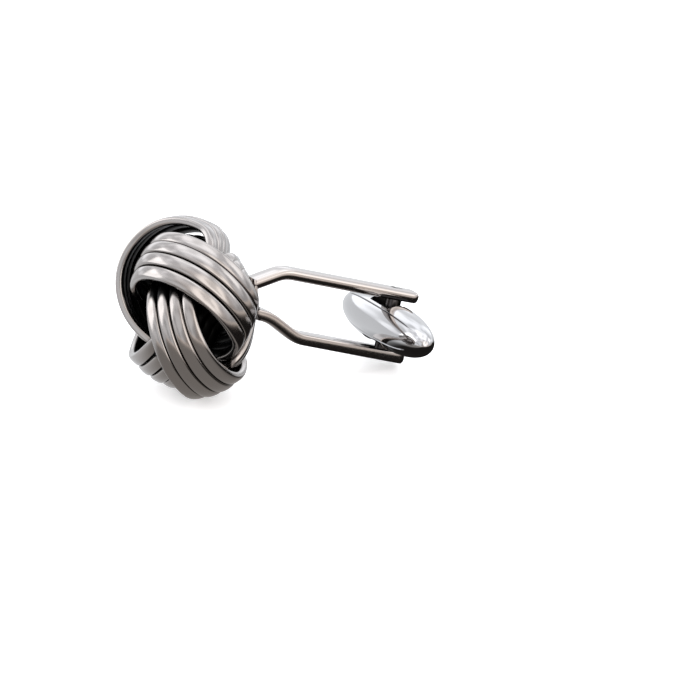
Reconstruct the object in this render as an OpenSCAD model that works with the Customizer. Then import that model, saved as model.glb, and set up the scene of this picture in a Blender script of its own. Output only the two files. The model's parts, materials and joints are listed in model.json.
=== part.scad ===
// Silk-knot cufflink with a swivel toggle, lying on a surface, in millimetres.
// Four ribbed rings interlock into a hollow knot. A fork rises from the knot's
// back, and a torpedo toggle turns on a pin between the two arms of the fork.

/* [Knot] */
// outer diameter of the knot across its widest part
knot_d = 14.5; // [13.5:0.5:16]
// height of the knot along its own axis, over the wires
knot_h = 11.8; // [11:0.1:12.2]
// breadth of one wire of a ring, flattened by the press
wire_w = 1.12; // [1:0.01:1.16]
// thickness of a ring over the crests of its wires
wire_t = 0.72; // [0.6:0.02:0.76]
// distance between neighbouring wires of a ring
wire_pitch = 1.15; // [1:0.01:1.18]
// how far each ring leans away from the knot's equator
ring_tilt = 42.8; // [41.6:0.2:44]

/* [Fork] */
// distance between the centre planes of the two arms
arm_spread = 5.08; // [5:0.02:6]
// thickness of an arm
arm_t = 0.96; // [0.7:0.02:0.96]
// breadth of an arm
arm_w = 2; // [1.6:0.1:2.2]
// how far an arm reaches past the pin
arm_tip = 1.85; // [1.4:0.05:2.2]

/* [Toggle] */
// length of the toggle
toggle_l = 18.36; // [12:0.02:19]
// widest diameter of the toggle
toggle_d = 3.84; // [3.5:0.02:3.86]
// thickness left between the two flats where the arms sit
toggle_flat = 2.9; // [2.7:0.02:3.5]
// diameter of the pivot pin
pin_d = 1.3; // [0.8:0.05:1.4]
// room all round the pin in the toggle's bore
pin_play = 0.05; // [0.02:0.01:0.08]

/* [Hidden] */

// how the cufflink lies: turns about X, Y and Z, then the place of the pin
lie = [-29.9, -69.3, 48.4];
lie_at = [9.21, 1.87, 3.65];
// the knot seen from the pin: its turn and the place of its centre
knot_turn = [-1.0, -20.2, 12.8];
knot_at = [-1.73, -0.01, 17.38];

half_wire = wire_w / 2;
crest_share = 0.58;
crest_t = wire_t * crest_share;
back_t = wire_t - crest_t;
knot_size = knot_d / 14.5;
shell_r = knot_d / 2 - crest_t;
shell_h = knot_h / 2 - crest_t;
wires = 4;
ring_steps = 78;
// the weave along a ring: each row is a swell or a dive around one place
WHERE = 0;
REACH = 1;
OUTWARD = 2;
SIDEWAYS = 3;
NARROWING = 4;
weave = [
    // where, reach, outward, sideways, narrowing
    [78, 131, -2.60, -0.31, 0],
    [119, 45, 1.30, -0.44, -0.10],
    [157, 39, 0.26, -1.06, -0.28],
    [180, 52, -0.12, -1.52, -0.09],
    [-158, 43, -2.47, 1.72, -0.24],
    [-68, 101, 0.30, -1.68, 0.06],
];
// the ribbed section: how full its crests are, how deep its grooves go at most,
// and where along half a wire the corners of its crests lie
crest_fullness = 2.6;
groove_floor = 0.42;
rim_corners = [0.93, 0.6];
crest_corner = 0.62;
back_corner = 0.72;

function unit(v) = v / norm(v);
function total(list, i = 0) = i < len(list) - 1 ? list[i] + total(list, i + 1) : list[i];
function mean(list) = total(list) / len(list);
function away(a, row) = abs((a - row[WHERE] + 540) % 360 - 180);
function swell(a, row) = away(a, row) < row[REACH] ? (1 + cos(180 * away(a, row) / row[REACH])) / 2 : 0;
function along(a, column) = total([for (row = weave) row[column] * swell(a, row)]);

// the middle line of a ring as a direction, then any direction laid on the shell
function heading(a) =
    let (lift = asin(sin(ring_tilt) * cos(a)), turn = atan2(sin(a), cos(a) * cos(ring_tilt)))
    [cos(lift) * cos(turn), cos(lift) * sin(turn), sin(lift)];
function on_shell(d) = d / sqrt((d.x * d.x + d.y * d.y) / pow(shell_r, 2) + pow(d.z / shell_h, 2));
function shell_up(p) = unit([p.x / pow(shell_r, 2), p.y / pow(shell_r, 2), p.z / pow(shell_h, 2)]);
function raised(d, out) = let (p = on_shell(d)) p + shell_up(p) * out;
function across(a) =
    let (p = on_shell(heading(a)), ahead = on_shell(heading(a + 1)) - on_shell(heading(a - 1)))
    unit(cross(shell_up(p), ahead));
function wire_at(a, k) =
    let (
        p = on_shell(heading(a)),
        out = along(a, OUTWARD) * knot_size,
        aside = (k - (wires - 1) / 2) * wire_pitch * (1 + along(a, NARROWING)) + along(a, SIDEWAYS) * knot_size,
        reach = norm(p) * tan(aside / (norm(p) + out) * 180 / PI)
    )
    raised(unit(p + across(a) * reach), out);

// one ribbed section: four crests in front with grooves between, and a flat back
function clamped(k) = max(0, min(wires - 1, k));
function lobe(c, ahead, k) =
    let (side = unit(c[clamped(k + 1)] - c[clamped(k - 1)]), up = unit(cross(ahead, side)))
    [c[k], unit(cross(up, ahead)), up];
function spot(l, aside, out) = l[0] + aside * l[1] + out * l[2];
function crest(t) = crest_t * pow(1 - pow(min(1, abs(t)), crest_fullness), 1 / crest_fullness);
function on_crest(l, aside) = spot(l, aside, crest(aside / half_wire));
function groove(l, m) =
    let (depth = max(groove_floor * crest_t, crest(norm(l[0] - m[0]) / wire_w)))
    (spot(l, 0, depth) + spot(m, 0, depth)) / 2;
function section(a) =
    let (
        r = half_wire,
        c = [for (k = [0:wires - 1]) wire_at(a, k)],
        ahead = unit(mean([for (k = [0:wires - 1]) wire_at(a + 1, k) - wire_at(a - 1, k)])),
        l = [for (k = [0:wires - 1]) lobe(c, ahead, k)],
        near = crest_corner * min(r, norm(c[1] - c[0]) / 2)
    )
    [
        spot(l[3], r, 0),
        for (t = rim_corners) on_crest(l[3], t * r),
        on_crest(l[3], 0),
        on_crest(l[3], -near),
        for (k = [2, 1]) each [groove(l[k + 1], l[k]), for (t = [near, 0, -near]) on_crest(l[k], t)],
        groove(l[1], l[0]),
        on_crest(l[0], near),
        on_crest(l[0], 0),
        for (i = [1, 0]) on_crest(l[0], -rim_corners[i] * r),
        spot(l[0], -r, 0),
        spot(l[0], -back_corner * r, -back_t),
        for (k = [0:wires - 1]) spot(l[k], 0, -back_t),
        spot(l[3], back_corner * r, -back_t)
    ];

module knot_ring(number) {
    step = 360 / ring_steps;
    sections = [for (i = [0:ring_steps - 1]) section(i * step - 180)];
    n = len(sections[0]);
    faces = [
        for (i = [0:ring_steps - 1], j = [0:n - 1])
            let (i2 = (i + 1) % ring_steps, j2 = (j + 1) % n)
            each [[i * n + j, i2 * n + j2, i * n + j2], [i * n + j, i2 * n + j, i2 * n + j2]]
    ];
    translate(knot_at) rotate(knot_turn) rotate([0, 0, 90 * (number - 1)])
        polyhedron([for (s = sections) each s], faces, convexity = 8);
}

// the fork, measured from the pin: X from arm to arm, Y across, Z to the knot
arm_out = arm_spread / 2;
tip_corner = 0.45;
tip_overlap = 0.2;
tip_seam = tip_overlap - arm_tip / 2;
foot_l = 3.3;
foot_t = 0.5;
seat_gap = 0.05;
back_of_rings = 5.15;
front_corners = [[arm_out, 10.1], [1.1, 12.6]];
low_corners = [[arm_out, 7.8], [1.25, 10.5], [1.1, 12.6]];
bend_reach = 0.7;
hole_play = 0.02;

// a bent centre line from the tip through rounded corners to its last point
function rounding(before, corner, after) = [
    for (t = [0:0.125:1])
        let (p = corner + unit(before - corner) * bend_reach, q = corner + unit(after - corner) * bend_reach)
        p * pow(1 - t, 2) + corner * 2 * t * (1 - t) + q * pow(t, 2)
];
function centre_line(corners) =
    let (stops = concat([[arm_out, -arm_tip / 2]], corners), last = len(stops) - 1)
    [
        stops[0],
        for (i = [1:last - 1]) each rounding(stops[i - 1], stops[i], stops[i + 1]),
        stops[last]
    ];
function sideways(line, i) =
    let (v = unit(line[min(i + 1, len(line) - 1)] - line[max(i - 1, 0)]))
    [v.y, -v.x];
function strip(line, t) = concat(
    [for (i = [0:len(line) - 1]) line[i] + sideways(line, i) * t / 2],
    [for (i = [len(line) - 1:-1:0]) line[i] - sideways(line, i) * t / 2]
);

// the blunt end of an arm, across by length, with its corners broken
function tip_outline() = concat(
    [[arm_w / 2, tip_seam]],
    [for (t = [0:15:90]) [arm_w / 2 - tip_corner * (1 - cos(t)), tip_corner * (1 - sin(t)) - arm_tip]],
    [for (t = [90:-15:0]) [tip_corner * (1 - cos(t)) - arm_w / 2, tip_corner * (1 - sin(t)) - arm_tip]],
    [[-arm_w / 2, tip_seam]]
);

module arm(corners) {
    rotate([90, 0, 0])
        linear_extrude(arm_w, center = true) polygon(strip(centre_line(corners), arm_t));
    translate([arm_out, 0, 0]) rotate([90, 0, 90])
        linear_extrude(arm_t, center = true) polygon(tip_outline());
}

// a wide slab behind the knot, from a height above the underside of the foot
module behind_knot(from, t) {
    translate(knot_at) rotate(knot_turn)
        translate([0, 0, from - back_of_rings - seat_gap - foot_t]) cylinder(h = t, r = 2 * foot_l, $fn = 48);
}

// the bar across the roots of the arms, as broad as they are
module foot() {
    intersection() {
        behind_knot(0, foot_t);
        translate([-foot_l / 2, -arm_w / 2, 0]) cube([foot_l, arm_w, knot_at.z]);
    }
}

module fork() {
    difference() {
        union() {
            arm(front_corners);
            mirror([1, 0, 0]) arm(low_corners);
        }
        rotate([0, 90, 0]) cylinder(h = 2 * arm_spread, d = pin_d + 2 * hole_play, center = true, $fn = 48);
        behind_knot(foot_t / 2, 4 * foot_t);
    }
    foot();
}

module pivot_pin() {
    rotate([0, 90, 0]) cylinder(h = arm_spread + arm_t, d = pin_d, center = true, $fn = 48);
}

// the toggle: a torpedo whose ends round off, flattened where the arms hold it
end_fullness = 2.6;
side_fullness = 2.2;
profile_steps = 20;
pocket_r = 2.35;

function torpedo_r(s) = toggle_d / 2 * pow(1 - pow(abs(s), end_fullness), 1 / side_fullness);
function ease(i) = sin(90 * i / profile_steps);

module toggle() {
    half = toggle_l / 2;
    difference() {
        rotate([-90, 0, 0]) rotate_extrude($fn = 48) polygon(concat(
            [[0, -half]],
            [for (i = [1 - profile_steps:profile_steps - 1]) [torpedo_r(ease(i)), half * ease(i)]],
            [[0, half]]
        ));
        for (side = [-1, 1])
            translate([side * (toggle_flat / 2 + arm_spread / 2), 0, 0]) rotate([0, 90, 0])
                cylinder(h = arm_spread, r = pocket_r, center = true, $fn = 64);
        rotate([0, 90, 0])
            cylinder(h = 2 * toggle_d, d = pin_d + 2 * pin_play, center = true, $fn = 48);
    }
}

module lying() {
    translate(lie_at) rotate(lie) children();
}

gunmetal = [0.36, 0.34, 0.32];
lying() color(gunmetal) knot_ring(1);  // knot_ring_1
lying() color(gunmetal) knot_ring(2);  // knot_ring_2
lying() color(gunmetal) knot_ring(3);  // knot_ring_3
lying() color(gunmetal) knot_ring(4);  // knot_ring_4
lying() color(gunmetal) fork();
lying() color(gunmetal) pivot_pin();
lying() color(gunmetal) toggle();
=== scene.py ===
import json
from math import asin, atan2, ceil, cos, degrees, pi, radians, sin, sqrt, tan

import bmesh
import bpy
from mathutils import Euler, Matrix, Vector


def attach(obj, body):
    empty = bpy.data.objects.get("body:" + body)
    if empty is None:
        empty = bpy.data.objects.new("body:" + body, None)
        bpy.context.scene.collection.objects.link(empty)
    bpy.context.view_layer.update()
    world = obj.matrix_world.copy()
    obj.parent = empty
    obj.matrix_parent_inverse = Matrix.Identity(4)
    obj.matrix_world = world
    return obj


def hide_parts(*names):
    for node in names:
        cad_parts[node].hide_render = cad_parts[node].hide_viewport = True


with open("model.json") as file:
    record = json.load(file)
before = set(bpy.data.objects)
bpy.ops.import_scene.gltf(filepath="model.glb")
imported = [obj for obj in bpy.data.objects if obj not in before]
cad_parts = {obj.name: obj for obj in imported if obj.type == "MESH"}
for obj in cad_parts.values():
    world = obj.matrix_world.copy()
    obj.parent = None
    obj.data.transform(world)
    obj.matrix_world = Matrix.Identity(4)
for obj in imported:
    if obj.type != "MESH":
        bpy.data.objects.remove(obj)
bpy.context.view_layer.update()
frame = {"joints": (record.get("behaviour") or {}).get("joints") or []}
print("frame loaded")

mm = 0.001

# How the cufflink lies. The pin is where the toggle's joint is, and the turns are in degrees.
lying = {"turn": (-29.9, -69.3, 48.4), "pin": frame["joints"][0]["pos_m"]}
# The knot's turn and middle, in millimetres from the pin: x from arm to arm, z towards the knot
knotPlace = {"turn": (-1.0, -20.2, 12.8), "middle": (-1.73, -0.01, 17.38)}


def turned(angles):
    return Euler([radians(a) for a in angles]).to_matrix().to_4x4()


forkFrame = Matrix.Translation(lying["pin"]) @ turned(lying["turn"]) @ Matrix.Scale(mm, 4)
knotSeat = Matrix.Translation(knotPlace["middle"]) @ turned(knotPlace["turn"])


def smoothStep(low, high, x):
    t = min(1, max(0, (x - low) / (high - low)))
    return t * t * (3 - 2 * t)


# Shaders

# A socket of a shader, which can be added to, multiplied and mixed with
class Link:
    def __init__(self, tree, socket=None):
        self.tree, self.socket = tree, socket

    def node(self, kind, settings=None, sockets=None, out=0):
        made = self.tree.nodes.new(kind)
        for name, value in (settings or {}).items():
            if name == "stops":
                ramp = made.color_ramp
                for i, (place, colour) in enumerate(value):
                    stop = ramp.elements[i] if i < 2 else ramp.elements.new(place)
                    stop.position, stop.color = place, colour
            else:
                setattr(made, name, value)
        for name, value in (sockets or {}).items():
            if isinstance(value, Link):
                self.tree.links.new(value.socket, made.inputs[name])
            else:
                made.inputs[name].default_value = value
        return Link(self.tree, made.outputs[out] if made.outputs else None)

    # A number along one axis of this vector
    def axis(self, number):
        return self.node("ShaderNodeSeparateXYZ", None, {0: self}, out=number)

    # Goes smoothly from low to high as this number goes from start to stop
    def fade(self, start, stop, low=0.0, high=1.0):
        return self.node("ShaderNodeMapRange", {"interpolation_type": "SMOOTHSTEP"}, {
            0: self, 1: start, 2: stop, 3: low, 4: high})

    # From the first colour to the second as this number goes from 0 to 1
    def blend(self, first, second):
        return self.node("ShaderNodeMix", {"data_type": "RGBA"}, {0: self, 6: first, 7: second}, out=2)

    def maths(self, operation, a, b):
        return self.node("ShaderNodeMath", {"operation": operation}, {0: a, 1: b})

    def __add__(self, other):
        return self.maths("ADD", self, other)

    def __mul__(self, other):
        return self.maths("MULTIPLY", self, other)

    def __sub__(self, other):
        return self.maths("SUBTRACT", self, other)

    def __rsub__(self, other):
        return self.maths("SUBTRACT", other, self)

    __radd__ = __add__
    __rmul__ = __mul__


def newMaterial(name):
    material = bpy.data.materials.new(name)
    material.use_nodes = True
    material.node_tree.nodes.clear()
    return material, Link(material.node_tree)


# Plated metal: a cloudy tint, fine polishing marks, and painted shade where the mesh's shade attribute says.
# A tint of the edge below white keeps it dark where it is seen at a slant.
def metal(name, look):
    material, link = newMaterial(name)
    place = link.node("ShaderNodeTexCoord", out=3)
    shade = link.node("ShaderNodeAttribute", {"attribute_name": "shade"}, out=2)
    cloud = link.node("ShaderNodeTexNoise", None, {"Vector": place, "Scale": look["cloud"], "Detail": 4.0})
    marks = link.node("ShaderNodeTexNoise", None, {"Vector": place, "Scale": look["marks"], "Detail": 3.0})
    plate = cloud.blend(look["warm"], look["cool"])
    rough = look["rough"] + (cloud - 0.5) * look["uneven"] + shade * look["dull"]
    dent = link.node("ShaderNodeBump", None, {
        "Strength": look["grain"], "Distance": look["depth"], "Height": marks})
    # the base colour goes to a near-black painted shade colour where the shade attribute is high
    surface = link.node("ShaderNodeBsdfPrincipled", None, {
        "Base Color": shade.blend(plate, look["deep"]), "Roughness": rough, "Metallic": 1.0,
        "Specular Tint": look["edge"], "Normal": dent})
    link.node("ShaderNodeOutputMaterial", None, {"Surface": surface})
    return material


knotMetal = metal("satinGunmetal", {
    "warm": (0.36, 0.327, 0.305, 1), "cool": (0.34, 0.33, 0.326, 1), "deep": (0.005, 0.005, 0.005, 1),
    "cloud": 260.0, "marks": 5200.0, "rough": 0.17, "uneven": 0.1, "dull": 0.2,
    "grain": 0.08, "depth": 0.00002, "edge": (1, 1, 1, 1)})
armMetal = metal("polishedGunmetal", {
    "warm": (0.49, 0.45, 0.425, 1), "cool": (0.46, 0.44, 0.43, 1), "deep": (0.02, 0.018, 0.017, 1),
    "cloud": 180.0, "marks": 4200.0, "rough": 0.1, "uneven": 0.06, "dull": 0.2,
    "grain": 0.05, "depth": 0.00002, "edge": (1, 1, 1, 1)})
toggleMetal = metal("mirrorGunmetal", {
    "warm": (0.49, 0.48, 0.477, 1), "cool": (0.46, 0.46, 0.47, 1), "deep": (0.015, 0.014, 0.014, 1),
    "cloud": 150.0, "marks": 3600.0, "rough": 0.08, "uneven": 0.04, "dull": 0.2,
    "grain": 0.04, "depth": 0.00002, "edge": (1, 1, 1, 1)})
# painted shade: a near-black metal for the toggle's pockets and bore
pocketShadeMetal = metal("pocketPaintedShade", {
    "warm": (0.05, 0.048, 0.047, 1), "cool": (0.035, 0.035, 0.037, 1), "deep": (0.01, 0.01, 0.01, 1),
    "cloud": 400.0, "marks": 5000.0, "rough": 0.2, "uneven": 0.1, "dull": 0.1,
    "grain": 0.1, "depth": 0.00002, "edge": (0.1, 0.1, 0.1, 1)})
# painted shade: the steel pin is kept near black for the shade it sits in between the arm and the toggle
pinShadeMetal = metal("pinSteelPaintedShade", {
    "warm": (0.06, 0.055, 0.052, 1), "cool": (0.04, 0.04, 0.041, 1), "deep": (0.02, 0.02, 0.02, 1),
    "cloud": 500.0, "marks": 7000.0, "rough": 0.22, "uneven": 0.1, "dull": 0.1,
    "grain": 0.15, "depth": 0.00002, "edge": (0.1, 0.1, 0.1, 1)})
print("materials made")


def asObject(bm, name):
    mesh = bpy.data.meshes.new(name)
    bm.to_mesh(mesh)
    bm.free()
    made = bpy.data.objects.new(name, mesh)
    bpy.context.collection.objects.link(made)
    return made


# Puts a piece into the scene, rides it on its body, and lets it stand for its nodes.
# Its edges are sharp where they turn by more degrees than sharpPast.
def finished(bm, name, body, material, nodes, place, sharpPast):
    bmesh.ops.transform(bm, matrix=place, verts=bm.verts)
    bmesh.ops.recalc_face_normals(bm, faces=bm.faces)
    piece = asObject(bm, name)
    piece.data.materials.append(material)
    piece.data.shade_smooth()
    piece.data.set_sharp_from_angle(angle=radians(sharpPast))
    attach(piece, body)
    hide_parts(*nodes)
    return piece


def uprightCylinder(radius, sides, height):
    bm = bmesh.new()
    bmesh.ops.create_cone(bm, cap_ends=True, segments=sides, radius1=radius, radius2=radius, depth=height)
    return bm


# Turns what was built upright to lie along the pin's line
def layDown(bm):
    bmesh.ops.rotate(bm, verts=bm.verts, cent=(0, 0, 0), matrix=Matrix.Rotation(pi / 2, 3, "Y"))


# A sheet of squares laid over stations, each a closed outline of the same number of points
def addSkin(bm, outlines, shades, joined):
    shade = bm.verts.layers.float.get("shade") or bm.verts.layers.float.new("shade")
    steps, sides = len(outlines) - (0 if joined else 1), len(outlines[0])
    sheet = bmesh.ops.create_grid(bm, x_segments=steps, y_segments=sides, size=1)["verts"]
    for v in sheet:
        i, j = round((v.co.x + 1) / 2 * steps) % len(outlines), round((v.co.y + 1) / 2 * sides) % sides
        v.co = outlines[i][j]
        v[shade] = shades[i][j]
    bmesh.ops.remove_doubles(bm, verts=sheet, dist=0.00001)


# The knot's rings, each four flattened wires on a flattened ball, in millimetres and degrees

knot = {
    "shell": (6.8324, 5.4824),  # over the equator, and over the poles
    "tilt": 42.8,
    "wires": 4,
    "pitch": 1.15,
    "halfBroad": 0.57,
    "crest": 0.4176,  # how far a wire stands out of the shell
    "back": 0.3024,  # and how far it reaches inside
    "crestAt": (0, 0.28, 0.52, 0.7, 0.83, 0.91, 0.96, 0.99),  # the crest's corners, from its middle out
    "crestBow": 0.22,
    "crestCorner": 13,
    "crestEdge": 0.38,
    "backFullness": 3.4,
    "backSides": 10,
    "steps": 300,
    "sharpPast": 50,
    # where a wire gets painted shade, as shares of its half breadth and its height
    "grooveFrom": 0.95,
    "insideFrom": -0.1,
    "insideFade": 0.3,
    "rimInsideFrom": -0.65,
    # how far in it gets painted shade where it dives under another ring
    "tipFrom": 0.95,
    "tipRound": 0.32,
    "tipFade": 0.16,
    "rimReach": 0.8,
}
weave = [
    # where, reach, outward, sideways, narrowing
    (78, 131, -2.60, -0.31, 0),
    (119, 45, 1.30, -0.44, -0.10),
    (157, 39, 0.26, -1.06, -0.28),
    (180, 52, -0.12, -1.52, -0.09),
    (-158, 43, -2.47, 1.72, -0.24),
    (-68, 101, 0.30, -1.68, 0.06),
]


# How far outward, sideways and together a ring's wires go at an angle
def woven(angle):
    sums = [0, 0, 0]
    for where, reach, *amounts in weave:
        away = abs((angle - where + 540) % 360 - 180)
        if away < reach:
            swell = (1 + cos(pi * away / reach)) / 2
            sums = [total + amount * swell for total, amount in zip(sums, amounts)]
    return sums


# Where a direction from the middle meets the shell
def onShell(direction):
    wide, high = knot["shell"]
    return direction / sqrt((direction.x**2 + direction.y**2) / wide**2 + direction.z**2 / high**2)


# The way straight out of the shell at a point
def shellUp(point):
    wide, high = knot["shell"]
    return Vector((point.x / wide**2, point.y / wide**2, point.z / high**2)).normalized()


# The direction from the middle at an angle round the first ring's tilted circle
def heading(angle):
    tilt, a = radians(knot["tilt"]), radians(angle)
    lift, turn = asin(sin(tilt) * cos(a)), atan2(sin(a), cos(a) * cos(tilt))
    return Vector((cos(lift) * cos(turn), cos(lift) * sin(turn), sin(lift)))


# The middles of a ring's wires at an angle, from the back pole's side to the front's
def wirePoints(angle):
    point = onShell(heading(angle))
    ahead = onShell(heading(angle + 1)) - onShell(heading(angle - 1))
    across = shellUp(point).cross(ahead).normalized()
    out, aside, narrowing = woven(angle)
    points = []
    for k in range(knot["wires"]):
        offset = (k - (knot["wires"] - 1) / 2) * knot["pitch"] * (1 + narrowing) + aside
        leaning = (point + across * point.length * tan(offset / (point.length + out))).normalized()
        base = onShell(leaning)
        points.append(base + shellUp(base) * out)
    return points


# A wire's section, across and outward, both up to 1: a crest pressed nearly flat, and a fuller back
def wireSection():
    crest = []
    for x in knot["crestAt"]:
        crest.append((x, (1 - knot["crestBow"] * x * x) * (1 - x**knot["crestCorner"])**knot["crestEdge"]))
    corners = [(1, 0)] + crest[:0:-1] + [(-x, y) for x, y in crest] + [(-1, 0)]
    full = knot["backFullness"]
    for j in range(1, knot["backSides"]):
        a = pi * (1 + j / knot["backSides"])
        reach = (abs(cos(a))**full + abs(sin(a))**full)**(-1 / full)
        corners.append((cos(a) * reach, sin(a) * reach))
    return corners


# How much painted shade a wire gets: in its grooves, inside the knot, and past the round tip where it dives.
# On a ring's rims, where the side is past 0, there is no painted groove shade and the side is as bright as
# the crest.
def wireShade(x, y, outward, side):
    groove = 0 if side > 0 else smoothStep(knot["grooveFrom"], 1, abs(x))
    start = knot["rimInsideFrom"] if side > 0 else knot["insideFrom"]
    inside = smoothStep(start, start - knot["insideFade"], y)
    dive = -outward - knot["tipFrom"] - knot["tipRound"] * (1 - x * x) - (knot["rimReach"] if side > 0 else 0)
    return max(groove, inside, smoothStep(0, knot["tipFade"], dive))


def makeRing(number):
    bm = bmesh.new()
    turns = [360 * i / knot["steps"] - 180 for i in range(knot["steps"])]
    stations = [wirePoints(a) for a in turns]
    aheads = [wirePoints(a + 0.5) for a in turns]
    outwards = [woven(a)[0] for a in turns]
    section = [(x, y, knot["crest"] if y > 0 else knot["back"]) for x, y in wireSection()]
    last = knot["wires"] - 1
    for k in range(knot["wires"]):
        hand = {0: -1, last: 1}.get(k, 0)  # the side of this wire that is a rim
        outlines, shades = [], []
        for points, ahead, outward in zip(stations, aheads, outwards):
            along = (ahead[k] - points[k]).normalized()
            side = (points[min(k + 1, last)] - points[max(k - 1, 0)]).normalized()
            up = along.cross(side).normalized()
            side = up.cross(along).normalized()
            half = min(knot["halfBroad"], (points[1] - points[0]).length / 2)
            outlines.append([points[k] + side * x * half + up * y * height for x, y, height in section])
            # painted shade at each point of the wire's outline
            shades.append([wireShade(x, y, outward, x * hand) for x, y, height in section])
        addSkin(bm, outlines, shades, True)
    quarters = Matrix.Rotation(radians(90 * (number - 1)), 3, "Z")
    bmesh.ops.rotate(bm, verts=bm.verts, cent=(0, 0, 0), matrix=quarters)
    finished(bm, "knotRing%d" % number, "cufflink", knotMetal, ["knot_ring_%d" % number],
             forkFrame @ knotSeat, knot["sharpPast"])


for ringNumber in (1, 2, 3, 4):
    makeRing(ringNumber)
print("knot rings made")


# The fork: two flat bars with a blunt tip, bent to their centre lines, and the foot that joins them.
# The bars have no holes here: the pin runs through them.

fork = {
    "apart": 5.08,
    "thick": 0.96,
    "broad": 2.0,
    "tip": 1.85,  # from the pin
    "tipCorner": 0.45,
    "tipEdge": 0.32,
    "outerEdge": 0.32,
    "frontInnerEdge": 0.44,
    "lowInnerEdge": 0.14,
    "edgeSides": 5,
    # from arm to arm, and towards the knot
    "frontCorners": [(2.54, 10.1), (1.1, 12.6)],
    "lowCorners": [(2.54, 7.8), (1.25, 10.5), (1.1, 12.6)],
    "bendReach": 0.7,
    "bendSteps": 12,
    "tipSteps": 10,
    "step": 0.2,
    "footLong": 3.3,
    "footThick": 0.5,
    "footTop": -5.2,  # from the knot's middle
    "footBlock": 4,  # deep enough to be cut on both faces
    "footEdge": 0.1,
    "footEdgeSides": 3,
    "sharpPast": 40,
}


def rounding(before, corner, after):
    start = corner + (before - corner).normalized() * fork["bendReach"]
    stop = corner + (after - corner).normalized() * fork["bendReach"]
    shares = [i / fork["bendSteps"] for i in range(fork["bendSteps"] + 1)]
    return [start * (1 - t)**2 + corner * 2 * t * (1 - t) + stop * t**2 for t in shares]


def centreLine(corners):
    stops = [Vector((fork["apart"] / 2, -fork["tip"]))] + [Vector(corner) for corner in corners]
    line = [stops[0]]
    for before, corner, after in zip(stops, stops[1:], stops[2:]):
        line += rounding(before, corner, after)
    return line + [stops[-1]]


# The point at a distance from the line's start, and its direction there
def alongLine(line, distance):
    for a, b in zip(line, line[1:]):
        step = (b - a).length
        if distance <= step or b is line[-1]:
            return a + (b - a) * (distance / step), (b - a).normalized()
        distance -= step


# How much a rounded end of a given radius takes off one side, a distance in from the end
def roundedOff(radius, distance):
    inward = max(0, radius - distance)
    return radius - sqrt(radius**2 - inward**2)


# A bar's section: outward by across, with one rounding on its outer edges and one on its inner edges
def barSection(thick, broad, outer, inner):
    points = []
    for quarter, (x, y, edge) in enumerate(((1, 1, outer), (-1, 1, inner), (-1, -1, inner), (1, -1, outer))):
        for i in range(fork["edgeSides"] + 1):
            a = pi / 2 * (quarter + i / fork["edgeSides"])
            points.append((x * (thick / 2 - edge) + cos(a) * edge, y * (broad / 2 - edge) + sin(a) * edge))
    return points


# Where an arm's sections stand: close together round its tip, then evenly to its root
def armStops(length):
    corner = fork["tipCorner"]
    near = [corner * (1 - cos(pi / 2 * i / fork["tipSteps"])) for i in range(fork["tipSteps"] + 1)]
    even = [corner + fork["step"] * i for i in range(1, ceil((length - corner) / fork["step"]))]
    return near + even + [length]


def addArm(bm, corners, hand, innerEdge):
    line = centreLine(corners)
    length = sum((b - a).length for a, b in zip(line, line[1:]))
    outlines = []
    for stop in armStops(length):
        point, ahead = alongLine(line, stop)
        across = Vector((ahead.y, -ahead.x))
        thick = fork["thick"] - 2 * roundedOff(fork["tipEdge"], stop)
        broad = fork["broad"] - 2 * roundedOff(fork["tipCorner"], stop)
        outline = []
        for x, y in barSection(thick, broad, fork["outerEdge"], innerEdge):
            spot = point + across * x
            outline.append(Vector((spot.x * hand, y, spot.y)))
        outlines.append(outline)
    addSkin(bm, outlines, [[0] * len(outlines[0])] * len(outlines), False)


# Cuts away what lies past a plane, and closes the cut
def trim(bm, verts, point, away):
    edges, faces = {e for v in verts for e in v.link_edges}, {f for v in verts for f in v.link_faces}
    cut = bmesh.ops.bisect_plane(bm, geom=list(edges | faces) + verts, dist=0.0001,
                                 plane_co=point, plane_no=away, clear_outer=True)
    bmesh.ops.holes_fill(bm, edges=[e for e in cut["geom_cut"] if isinstance(e, bmesh.types.BMEdge)], sides=0)


def makeFork():
    outward = knotSeat.col[2].xyz
    top = knotSeat @ Vector((0, 0, fork["footTop"]))
    bm = bmesh.new()
    foot = bmesh.ops.create_cube(bm, size=1)["verts"]
    bmesh.ops.scale(bm, vec=(fork["footLong"], fork["broad"], fork["footBlock"]), verts=foot)
    bmesh.ops.translate(bm, vec=(0, 0, top.z), verts=foot)
    trim(bm, bm.verts[:], top, outward)
    trim(bm, bm.verts[:], top - outward * fork["footThick"], -outward)
    bmesh.ops.bevel(bm, geom=bm.edges[:], offset=fork["footEdge"], segments=fork["footEdgeSides"],
                    profile=0.5, affect="EDGES", material=-1)
    footVerts = set(bm.verts)
    addArm(bm, fork["frontCorners"], 1, fork["frontInnerEdge"])
    addArm(bm, fork["lowCorners"], -1, fork["lowInnerEdge"])
    # the arms end inside the foot
    trim(bm, [v for v in bm.verts if v not in footVerts], top - outward * fork["footThick"] / 2, outward)
    finished(bm, "forkArms", "cufflink", armMetal, ["fork"], forkFrame, fork["sharpPast"])


makeFork()
print("fork made")


# The pivot pin. Its rims are rounded, and its ends are flush with the arms' outer faces.

pin = {"radius": 0.65, "rim": 0.16, "rimSteps": 4, "sides": 48, "sharpPast": 35}


def makePin():
    bm = uprightCylinder(pin["radius"], pin["sides"], fork["apart"] + fork["thick"])
    rims = [e for e in bm.edges if abs(e.verts[0].co.z - e.verts[1].co.z) < 0.01]
    bmesh.ops.bevel(bm, geom=rims, offset=pin["rim"], segments=pin["rimSteps"], profile=0.5,
                    affect="EDGES", material=-1)
    layDown(bm)
    finished(bm, "pivotPin", "cufflink", pinShadeMetal, ["pivot_pin"], forkFrame, pin["sharpPast"])


makePin()
print("pin made")


# The toggle: a torpedo with a seam along each long edge of its knot side, and a round flat on each side

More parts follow.
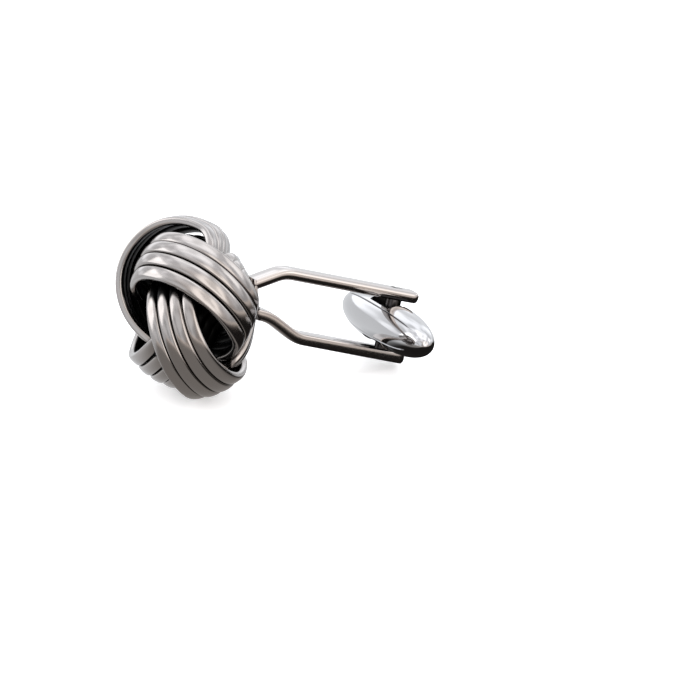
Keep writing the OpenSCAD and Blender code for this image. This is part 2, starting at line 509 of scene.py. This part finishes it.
toggle = {
    "long": 18.36,
    "wide": 3.84,
    "endFullness": 2.6,
    "sideFullness": 2.2,
    "sides": 96,
    "stepsToEnd": 30,
    # how far apart the flats are, the radii of their pockets and of the bore, and how far the cuts reach
    "flats": 2.9,
    "pocket": 2.35,
    "bore": 0.7,
    "pocketReach": 2,
    "boreReach": 3,
    "cutSides": 96,
    # a seam ends at seamTo, a share of the way to the toggle's end, and begins to fade at seamFades of that
    "seamAt": 41.25,  # degrees round from the middle of the knot side
    "seamBroad": 2.2,
    "seamDeep": 0.1,
    # how much painted shade lies in the seam's groove
    "seamPaintedShade": 0.9,
    "seamTo": 0.86,
    "seamFades": 0.7,
    "sharpPast": 28,
}


def torpedoRadius(share):
    return toggle["wide"] / 2 * (1 - abs(share)**toggle["endFullness"])**(1 / toggle["sideFullness"])


def spunTorpedo():
    bm = bmesh.new()
    steps = toggle["stepsToEnd"]
    shares = [sin(pi / 2 * i / steps) for i in range(-steps, steps + 1)]
    half = toggle["long"] / 2
    outline = [bm.verts.new((0 if abs(s) == 1 else torpedoRadius(s), half * s, 0)) for s in shares]
    edges = [bm.edges.new(pair) for pair in zip(outline, outline[1:])]
    bmesh.ops.spin(bm, geom=outline + edges, cent=(0, 0, 0), axis=(0, 1, 0), angle=2 * pi,
                   steps=toggle["sides"], use_merge=True, use_duplicate=False)
    bmesh.ops.remove_doubles(bm, verts=bm.verts, dist=0.0005)
    return bm


# Three cuts along each seam: its middle and its two sides
def cutSeamLines(bm):
    for shift in (-1, 0, 1):
        for hand in (-1, 1):
            a = radians(toggle["seamAt"] + shift * toggle["seamBroad"])
            middles = [(f, f.calc_center_median()) for f in bm.faces]
            faces = [f for f, middle in middles if middle.x * hand > 0 and middle.z > 0]
            edges, verts = {e for f in faces for e in f.edges}, {v for f in faces for v in f.verts}
            bmesh.ops.bisect_plane(bm, geom=faces + list(edges) + list(verts), dist=0.0002,
                                   plane_co=(0, 0, 0), plane_no=(cos(a) * hand, 0, -sin(a)))


# How near a point of the torpedo is to a seam, up to 1. It fades near the ends.
def seamNearness(co):
    angle = degrees(atan2(abs(co.x), co.z))
    fade = 1 - smoothStep(toggle["seamFades"], 1, abs(co.y) / (toggle["long"] / 2) / toggle["seamTo"])
    near = 1 - smoothStep(0, toggle["seamBroad"], abs(angle - toggle["seamAt"]))
    return near * fade


# Presses the seams in, and gives them painted shade
def pressSeams(bm):
    shade = bm.verts.layers.float.new("shade")
    for v in bm.verts:
        if v.co.z > 0 and abs(v.co.x) > 0.01:
            nearness = seamNearness(v.co)
            shrink = 1 - toggle["seamDeep"] * nearness / sqrt(v.co.x**2 + v.co.z**2)
            v.co.x *= shrink
            v.co.z *= shrink
            # painted shade along the seam
            v[shade] = toggle["seamPaintedShade"] * nearness


def cutter(name, radius, low, high):
    bm = uprightCylinder(radius, toggle["cutSides"], high - low)
    bmesh.ops.translate(bm, vec=(0, 0, (low + high) / 2), verts=bm.verts)
    layDown(bm)
    return asObject(bm, name)


# The torpedo with its two flats and its bore cut out
def cutThrough(torpedo):
    body = asObject(torpedo, "torpedo")
    flat = toggle["flats"] / 2
    tools = [cutter("rightFlat", toggle["pocket"], flat, flat + toggle["pocketReach"]),
             cutter("leftFlat", toggle["pocket"], -flat - toggle["pocketReach"], -flat),
             cutter("bore", toggle["bore"], -toggle["boreReach"], toggle["boreReach"])]
    for tool in tools:
        cut = body.modifiers.new(tool.name, "BOOLEAN")
        cut.operation, cut.object, cut.solver = "DIFFERENCE", tool, "EXACT"
    bpy.context.view_layer.update()
    bm = bmesh.new()
    bm.from_object(body, bpy.context.evaluated_depsgraph_get())
    for spare in [body, *tools]:
        bpy.data.objects.remove(spare)
    return bm


# Gives the faces of the pockets and the bore the second material, a near-black metal that paints shade into
# these recesses
def markPockets(bm):
    flat, pocket, bore = toggle["flats"] / 2 - 0.001, toggle["pocket"] + 0.01, toggle["bore"] + 0.01
    for f in bm.faces:
        pocketed = all(abs(v.co.x) > flat and v.co.yz.length < pocket for v in f.verts)
        bored = all(v.co.yz.length < bore for v in f.verts)
        f.material_index = 1 if pocketed or bored else 0


def makeToggle():
    torpedo = spunTorpedo()
    cutSeamLines(torpedo)
    pressSeams(torpedo)
    bmesh.ops.recalc_face_normals(torpedo, faces=torpedo.faces)
    bm = cutThrough(torpedo)
    markPockets(bm)
    bar = finished(bm, "toggleBar", "toggle", toggleMetal, ["toggle"], forkFrame, toggle["sharpPast"])
    bar.data.materials.append(pocketShadeMetal)


makeToggle()
print("toggle made")


# The table's top, as the eye sees it and as the metal mirrors it, in metres

tableTop = {
    "radius": 0.3,
    "sides": 96,
    "white": (0.93, 0.93, 0.93, 1),
    "cloud": (0.95, 0.95, 0.95, 1),
    "mottle": 30.0,
    "rough": 0.55,
    "glow": 0.4,
    # mirrored, a painted reflection that glows only in the metal: grey under the knot, dark under the fork,
    # warm further out, and bright behind
    "underKnot": (0.38, 0.36, 0.345, 1),
    "underFork": (0.02, 0.018, 0.017, 1),
    "outer": (1.2, 1.08, 1.0, 1),
    "behind": (0.95, 0.97, 1.0, 1),
    "darkens": (-0.003, 0.003),
    "warms": (0.03, 0.13),
    "brightens": (-0.004, 0.006),
    "behindSlant": 0.5,
}


def makeTable():
    bm = bmesh.new()
    bmesh.ops.create_circle(bm, cap_ends=True, segments=tableTop["sides"], radius=tableTop["radius"])
    table = asObject(bm, "table")
    material, link = newMaterial("paleTable")
    place = link.node("ShaderNodeTexCoord", out=3)
    mottle = link.node("ShaderNodeTexNoise", None, {
        "Vector": place, "Scale": tableTop["mottle"], "Detail": 2.0})
    paper = link.node("ShaderNodeBsdfPrincipled", None, {
        "Base Color": mottle.blend(tableTop["white"], tableTop["cloud"]), "Roughness": tableTop["rough"],
        "Emission Color": (1, 1, 1, 1), "Emission Strength": tableTop["glow"]})
    outward = link.node("ShaderNodeVectorMath", {"operation": "LENGTH"}, {0: place}, out=1)
    sideways = place.axis(0)
    behind = place.axis(1) - sideways * tableTop["behindSlant"]
    shown = sideways.fade(*tableTop["darkens"]).blend(tableTop["underKnot"], tableTop["underFork"])
    shown = outward.fade(*tableTop["warms"]).blend(shown, tableTop["outer"])
    shown = behind.fade(*tableTop["brightens"]).blend(shown, tableTop["behind"])
    # painted reflection: a glow that the metal mirrors in place of the table
    dim = link.node("ShaderNodeEmission", None, {"Color": shown, "Strength": 1.0})
    mirrored = link.node("ShaderNodeLightPath", out=3)
    surface = link.node("ShaderNodeMixShader", None, {0: mirrored, 1: paper, 2: dim})
    link.node("ShaderNodeOutputMaterial", None, {"Surface": surface})
    table.data.materials.append(material)


# The studio: white to the eye. In the metal it is bright above and behind, and dim and warm in front.

studio = {
    # the light by height, from straight below to straight above, and its faint blue
    "heights": [(0.0, 0.1), (0.42, 0.3), (0.48, 1.0), (0.6, 1.05), (0.76, 1.4), (0.9, 1.7)],
    "tint": (1, 1.01, 1.05),
    "front": (0.72, 0.63, 0.58, 1),
    "frontFrom": (-0.05, -0.75),
    "frontShare": 0.8,
    "back": (1.65, 1.69, 1.76, 1),
    "backFrom": (0.35, 0.8),
    # soft cards, each around a direction
    "cards": [
        {"towards": (0.36, -0.78, 0.51), "from": (0.8, 0.93), "colour": (2.2, 2.1, 2.03, 1)},
        {"towards": (-0.75, -0.6, 0.28), "from": (0.75, 0.98), "colour": (1.1, 1.12, 1.16, 1)},
    ],
    # brighter and dimmer patches: how fine they are, how sharp, and the dimmest and the brightest
    "patchScale": 2.4,
    "patchFrom": (0.42, 0.58),
    "patchLight": (0.7, 1.15),
    # soft boxes, in metres and watts
    "softboxes": [
        {"name": "topBox", "place": (0.03, 0.1, 0.4), "target": (0, 0, 0),
         "size": (0.42, 0.3), "power": 0.25},
        {"name": "leftBox", "place": (-0.4, 0.06, 0.16), "target": (0, 0, 0.005),
         "size": (0.3, 0.26), "power": 0.4},
        {"name": "rightBox", "place": (0.38, 0.12, 0.24), "target": (0, 0, 0.005),
         "size": (0.24, 0.24), "power": 0.18},
    ],
}


def makeSky():
    world = bpy.data.worlds.new("studio")
    bpy.context.scene.world = world
    world.use_nodes = True
    world.node_tree.nodes.clear()
    link = Link(world.node_tree)
    place = link.node("ShaderNodeTexCoord", out=0)
    height, away = place.axis(2) * 0.5 + 0.5, place.axis(1)
    red, green, blue = studio["tint"]
    stops = [(share, (light * red, light * green, light * blue, 1)) for share, light in studio["heights"]]
    light = link.node("ShaderNodeValToRGB", {"stops": stops}, {0: height})
    light = away.fade(*studio["frontFrom"], 0.0, studio["frontShare"]).blend(light, studio["front"])
    for card in studio["cards"]:
        facing = link.node("ShaderNodeVectorMath", {"operation": "DOT_PRODUCT"}, {
            0: place, 1: card["towards"]}, out=1)
        light = facing.fade(*card["from"]).blend(light, card["colour"])
    light = away.fade(*studio["backFrom"]).blend(light, studio["back"])
    eye = link.node("ShaderNodeLightPath", out=0)
    cloud = link.node("ShaderNodeTexNoise", None, {
        "Vector": place, "Scale": studio["patchScale"], "Detail": 1.0})
    patch = cloud.fade(*studio["patchFrom"], *studio["patchLight"])
    sky = link.node("ShaderNodeBackground", None, {
        "Color": eye.blend(light, (1, 1, 1, 1)), "Strength": patch * (1 - eye) + eye})
    link.node("ShaderNodeOutputWorld", None, {"Surface": sky})


def makeSoftbox(box):
    light = bpy.data.lights.new(box["name"], "AREA")
    light.shape, light.energy = "RECTANGLE", box["power"]
    light.size, light.size_y = box["size"]
    lamp = bpy.data.objects.new(box["name"], light)
    lamp.location = box["place"]
    lamp.rotation_euler = (Vector(box["target"]) - Vector(box["place"])).to_track_quat("-Z", "Y").to_euler()
    bpy.context.collection.objects.link(lamp)


# The photograph's view: the cufflink is left of the picture's middle

camera = {
    "above": 23.6,  # degrees over the table
    "away": 0.665,
    "looksAt": (0.0061, 0.00474, 0),
    "focalPixels": 8068,
    "picturePixels": 700,
    "sensor": 36,
}


def makeCamera():
    data = bpy.data.cameras.new("photoCamera")
    data.sensor_width = camera["sensor"]
    data.lens = camera["focalPixels"] * camera["sensor"] / camera["picturePixels"]
    data.clip_start, data.clip_end = 0.01, 10
    view = bpy.data.objects.new("photoCamera", data)
    tip = radians(camera["above"])
    view.location = Vector(camera["looksAt"]) + Vector((0, -cos(tip), sin(tip))) * camera["away"]
    view.rotation_euler = (pi / 2 - tip, 0, 0)
    bpy.context.collection.objects.link(view)
    bpy.context.scene.camera = view


makeTable()
makeSky()
for box in studio["softboxes"]:
    makeSoftbox(box)
makeCamera()
bpy.context.scene.view_settings.view_transform = "Standard"
print("stage set")
